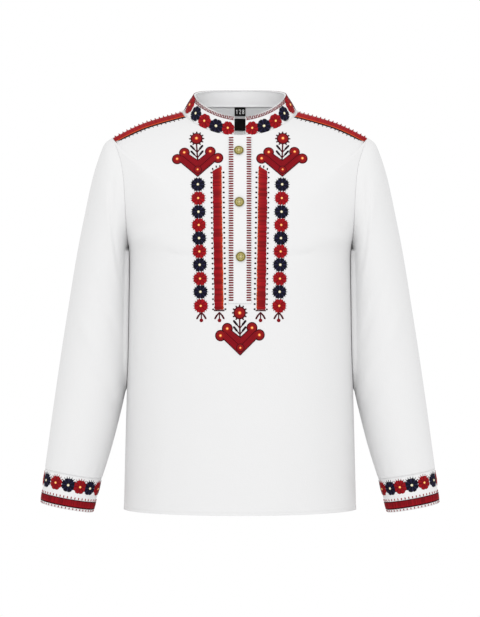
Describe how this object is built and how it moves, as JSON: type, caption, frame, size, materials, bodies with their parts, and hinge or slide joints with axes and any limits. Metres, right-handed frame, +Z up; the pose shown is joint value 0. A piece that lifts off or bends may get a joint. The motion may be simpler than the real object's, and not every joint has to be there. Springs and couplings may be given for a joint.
{
  "type": "embroidered folk shirt",
  "caption": "Child's long-sleeved white folk shirt with a stand collar and a short buttoned placket, kept open and hollow as it is worn.",
  "frame": {"origin": "base of the neck, on the shirt's middle line, where the wearer's shoulders carry it", "axes": "+Z up along the body, -Y out of the front, +X towards the wearer's left sleeve"},
  "size_m": [0.5168, 0.1985, 0.5516],
  "materials": {
    "white_cotton": "plain woven cotton, matt",
    "white_trim": "plain woven cotton over interlining, matt",
    "gold_button": "pale gold, soft gloss",
    "black_label": "woven ribbon, smooth"
  },
  "bodies": {
    "root": {"front": "white_cotton", "back": "white_cotton", "sleeve_left": "white_cotton", "sleeve_right": "white_cotton", "cuff_left": "white_trim", "cuff_right": "white_trim", "collar": "white_trim", "placket": "white_trim", "button_1": "gold_button", "button_2": "gold_button", "button_3": "gold_button", "size_label": "black_label", "neck_label": "black_label"}
  },
  "joints": []
}
